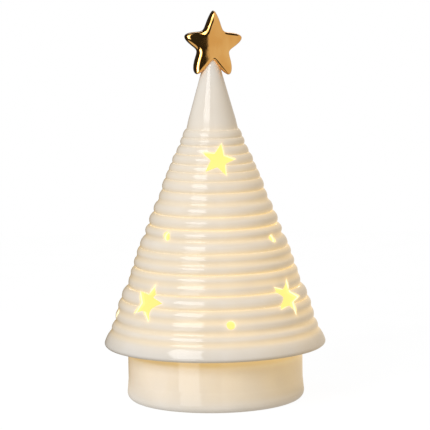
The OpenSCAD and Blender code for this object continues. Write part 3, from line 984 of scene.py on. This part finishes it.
def make_tealight():
    """Materials of the electric tealight's parts."""
    dress(
        ["tealight_housing", "bottom_cover", "battery_door"],
        plastic_material("white_plastic", (0.72, 0.71, 0.67), (0.8, 0.79, 0.76), 0.42),
    )
    dress(["flame_diffuser"], flame_material())
    dress(["led_lamp"], lens_material())
    dress(["circuit_board"], board_material())
    dress(["coin_cell"], metal_material("cell_steel", (0.6, 0.6, 0.6), (0.72, 0.72, 0.71), 0.2, 0.36))
    dress(
        ["board_screws", "cover_screws", "door_screw"],
        metal_material("zinc", (0.58, 0.6, 0.62), (0.74, 0.75, 0.76), 0.24, 0.42),
    )
    dress(
        ["contact_negative", "contact_positive"],
        metal_material("nickel", (0.62, 0.58, 0.5), (0.74, 0.71, 0.64), 0.16, 0.3, (1, 6, 1)),
    )
    dress(
        ["switch_case", "switch_slider"],
        plastic_material("black_plastic", (0.018, 0.018, 0.02), (0.03, 0.03, 0.033), 0.4, 1100),
    )


# Studio
floor_reach = 0.75
floor_z = -0.02 * mm
back_level = 2.6
pale_level = 0.69
dark_level = 0.03


def seen_rays(tree, rays):
    """1 for rays that show a surface to the camera, straight or through glass."""
    return maths(tree, "MAXIMUM", rays["Is Camera Ray"], rays["Is Transmission Ray"])


def floor_material():
    """White floor with a faint shadow, clear from below. Glossy surfaces see it only beside the base."""
    made, tree, shader = new_material("floor")
    rays = add(tree, "ShaderNodeLightPath").outputs
    distance = length_of(tree, own_place(tree))
    seen = maths(tree, "MULTIPLY", seen_rays(tree, rays), 0.94)
    mirrored_part = maths(tree, "MULTIPLY", rays["Is Glossy Ray"], 0.35)
    outwards = ramp(tree, distance, 52 * mm, 90 * mm, 0.38, 0.18)
    across = ramp(tree, own_part(tree, "X"), -80 * mm, 80 * mm, 1.3, 0.7)
    bounced = joined(tree, "MULTIPLY", rays["Is Diffuse Ray"], outwards, across)
    strength = joined(tree, "ADD", seen, mirrored_part, bounced)
    speckle = blend_colours(tree, grain(tree, 30), (0.1, 0.1, 0.1), (0.13, 0.13, 0.13))
    feed(tree, shader, Base_Color=speckle, Roughness=1.0, Specular_IOR_Level=0.0)
    feed(tree, shader, Emission_Color=(1, 1, 1, 1), Emission_Strength=strength)
    clear = add(tree, "ShaderNodeBsdfTransparent").outputs[0]
    below = add(tree, "ShaderNodeNewGeometry").outputs["Backfacing"]
    far = maths(tree, "MULTIPLY", rays["Is Glossy Ray"], ramp(tree, distance, 60 * mm, 110 * mm))
    unseen = maths(tree, "MAXIMUM", below, far)
    both = add(tree, "ShaderNodeMixShader", {0: unseen, 1: shader.outputs[0], 2: clear}).outputs[0]
    tree.links.new(both, tree.nodes["Material Output"].inputs["Surface"])
    return made


def make_floor():
    """A round floor. The world is white to the camera beyond it."""
    count = 96
    turns = [2 * math.pi * i / count for i in range(count)]
    mesh = bpy.data.meshes.new("floor")
    edge = [(floor_reach * math.cos(turn), floor_reach * math.sin(turn), floor_z) for turn in turns]
    mesh.from_pydata(edge, [], [range(count)])
    floor = bpy.data.objects.new("floor", mesh)
    bpy.context.scene.collection.objects.link(floor)
    mesh.materials.append(floor_material())


def box_width(tree, turn, rise):
    """1 between the leaning edges of the tall soft box at the left."""
    left = joined(
        tree,
        "ADD",
        ramp(tree, rise, -8 * degree, 14 * degree, -49 * degree, -40 * degree, smooth=False),
        ramp(tree, rise, 18 * degree, 40 * degree, 0, -20 * degree, smooth=False),
    )
    right = joined(
        tree,
        "ADD",
        ramp(tree, rise, -8 * degree, 24 * degree, -21 * degree, -12.5 * degree, smooth=False),
        ramp(tree, rise, 26 * degree, 39 * degree, 0, -5 * degree, smooth=False),
    )
    past_left = ramp(tree, maths(tree, "SUBTRACT", turn, left), -degree, degree)
    before_right = ramp(tree, maths(tree, "SUBTRACT", turn, right), -degree, degree, 1, 0)
    return maths(tree, "MULTIPLY", past_left, before_right)


def box_level(tree, rise):
    """Brightness of the soft box by height. Each step adds an amount between two angles in degrees."""
    steps = ((-24, -18, 2.6), (-8, 4, -0.7), (20, 26, 3.6), (53, 59, -4.3), (68, 80, -1.2))
    parts = [ramp(tree, rise, low * degree, high * degree, 0, more) for low, high, more in steps]
    return joined(tree, "ADD", *parts)


def pale_side(tree, turn, rise):
    """The pale right side, dimmer towards the back."""
    return joined(
        tree,
        "MULTIPLY",
        window(tree, turn, 7.6 * degree, 181 * degree, 0.25 * degree),
        window(tree, rise, -91 * degree, 57 * degree, 5 * degree),
        ramp(tree, turn, 110 * degree, 160 * degree, 1, 0.7),
    )


def pale_corner(tree, turn, rise):
    """A pale part low at the left."""
    across = window(tree, turn, -75 * degree, -24 * degree, 2 * degree)
    return maths(tree, "MULTIPLY", across, window(tree, rise, -72 * degree, -38 * degree, 2 * degree))


def back_box(tree, turn, rise):
    """A narrow soft box behind the tree."""
    across = ramp(tree, maths(tree, "ABSOLUTE", turn), 166 * degree, 168 * degree)
    return maths(tree, "MULTIPLY", across, window(tree, rise, 14 * degree, 40 * degree, 3 * degree))


def mirrored_studio(tree, turn, rise):
    """What glossy surfaces see: soft boxes, a pale right side and otherwise the dark."""
    box = maths(tree, "MULTIPLY", box_width(tree, turn, rise), box_level(tree, rise))
    back = maths(tree, "MULTIPLY", back_box(tree, turn, rise), back_level)
    pale = maths(tree, "ADD", pale_side(tree, turn, rise), pale_corner(tree, turn, rise))
    pale = maths(tree, "MULTIPLY", pale, pale_level)
    return joined(tree, "ADD", box, back, pale, dark_level)


def make_world():
    """White to the camera, plain light on dull surfaces, and a studio that glossy ones mirror."""
    world = bpy.data.worlds.new("studio")
    world.use_nodes = True
    tree = world.node_tree
    tree.nodes.clear()
    way = add(tree, "ShaderNodeTexCoord").outputs["Generated"]
    parts = add(tree, "ShaderNodeSeparateXYZ", {"Vector": way}).outputs
    turn = maths(tree, "ARCTAN2", parts["X"], maths(tree, "MULTIPLY", parts["Y"], -1.0))
    rise = maths(tree, "ARCSINE", parts["Z"])
    gloss = mirrored_studio(tree, turn, rise)
    upwards = ramp(tree, rise, -10 * degree, 80 * degree, 0.25, 0.57, smooth=False)
    across = ramp(tree, parts["X"], -1, 1, 1.13, 0.87, smooth=False)
    plain = maths(tree, "MULTIPLY", upwards, across)
    rays = add(tree, "ShaderNodeLightPath").outputs
    seen = seen_rays(tree, rays)
    strength = add(tree, "ShaderNodeMix", {"Factor": rays["Is Glossy Ray"], "A": plain, "B": gloss})
    strength = add(tree, "ShaderNodeMix", {"Factor": seen, "A": strength.outputs["Result"], "B": 1.0})
    values = {"Color": (1, 1, 1, 1), "Strength": strength.outputs["Result"]}
    background = add(tree, "ShaderNodeBackground", values).outputs[0]
    add(tree, "ShaderNodeOutputWorld", {"Surface": background})
    bpy.context.scene.world = world


def make_lamp(data, target, turn, rise, distance):
    """Puts a lamp at a distance from a point, in a direction given in degrees, and turns it to the point."""
    lamp = bpy.data.objects.new(data.name, data)
    bpy.context.scene.collection.objects.link(lamp)
    turn, rise = turn * degree, rise * degree
    way = Vector((math.sin(turn) * math.cos(rise), -math.cos(turn) * math.cos(rise), math.sin(rise)))
    lamp.location = Vector(target) + way * distance
    lamp.rotation_euler = (-way).to_track_quat("-Z", "Y").to_euler()
    lamp.visible_camera = False
    return lamp


def make_key():
    """A soft lamp at the left. Reflections show the world's soft box instead."""
    data = bpy.data.lights.new("key", "AREA")
    data.shape = "DISK"
    data.size = 0.5
    data.energy = 5.4
    make_lamp(data, (0, 0, 0.1), -32, 25, 1.2).visible_glossy = False


def make_card(star):
    """A tall, narrow lamp at the left that only the gold star mirrors."""
    data = bpy.data.lights.new("card", "AREA")
    data.shape = "RECTANGLE"
    data.size = 0.13
    data.size_y = 0.38
    data.energy = 1.2
    card = make_lamp(data, (0, 0, 0.2), -35, 0, 0.6)
    card.visible_diffuse = False
    mirrors = bpy.data.collections.new("mirrors_the_card")
    mirrors.objects.link(star)
    card.light_linking.receiver_collection = mirrors


def make_camera():
    """The photograph's camera: a long lens a little above the tree, leaning slightly."""
    data = bpy.data.cameras.new("camera")
    data.sensor_width = 36
    data.lens = 195.9
    camera = bpy.data.objects.new("camera", data)
    bpy.context.scene.collection.objects.link(camera)
    pitch, lean = 6.85 * degree, 0.8 * degree
    forward = Vector((0, math.cos(pitch), -math.sin(pitch)))
    level_up = Vector((0, math.sin(pitch), math.cos(pitch)))
    level_right = Vector((1, 0, 0))
    up = level_up * math.cos(lean) + level_right * math.sin(lean)
    right = level_right * math.cos(lean) - level_up * math.sin(lean)
    facing = Matrix((right, up, -forward)).transposed().to_4x4()
    stand = Matrix.Translation((0.9 * mm, -1310.8 * mm, 261.6 * mm))
    camera.matrix_world = stand @ facing
    bpy.context.scene.camera = camera


# The scene. The yellow of the lit insides is two colours of light and one of the glaze itself
yellow = ((1, 0.835, 0.24), (1, 0.865, 0.265), (0.12, 0.11, 0.08))
porcelain = porcelain_material()
lit_inside = lit_material("lit_inside", *yellow, (70 * mm, 120 * mm), (0.95, 1.0))
lit_bowl = lit_material("lit_bowl", *yellow, (3 * mm, 22 * mm), (0.6, 1.0))
make_shade(porcelain, lit_inside, edge_material())
make_bowl(porcelain, lit_bowl)
star = make_gold_star(gold_material())
make_tealight()
make_floor()
make_world()
make_key()
make_card(star)
make_camera()
bpy.context.scene.view_settings.view_transform = "Standard"
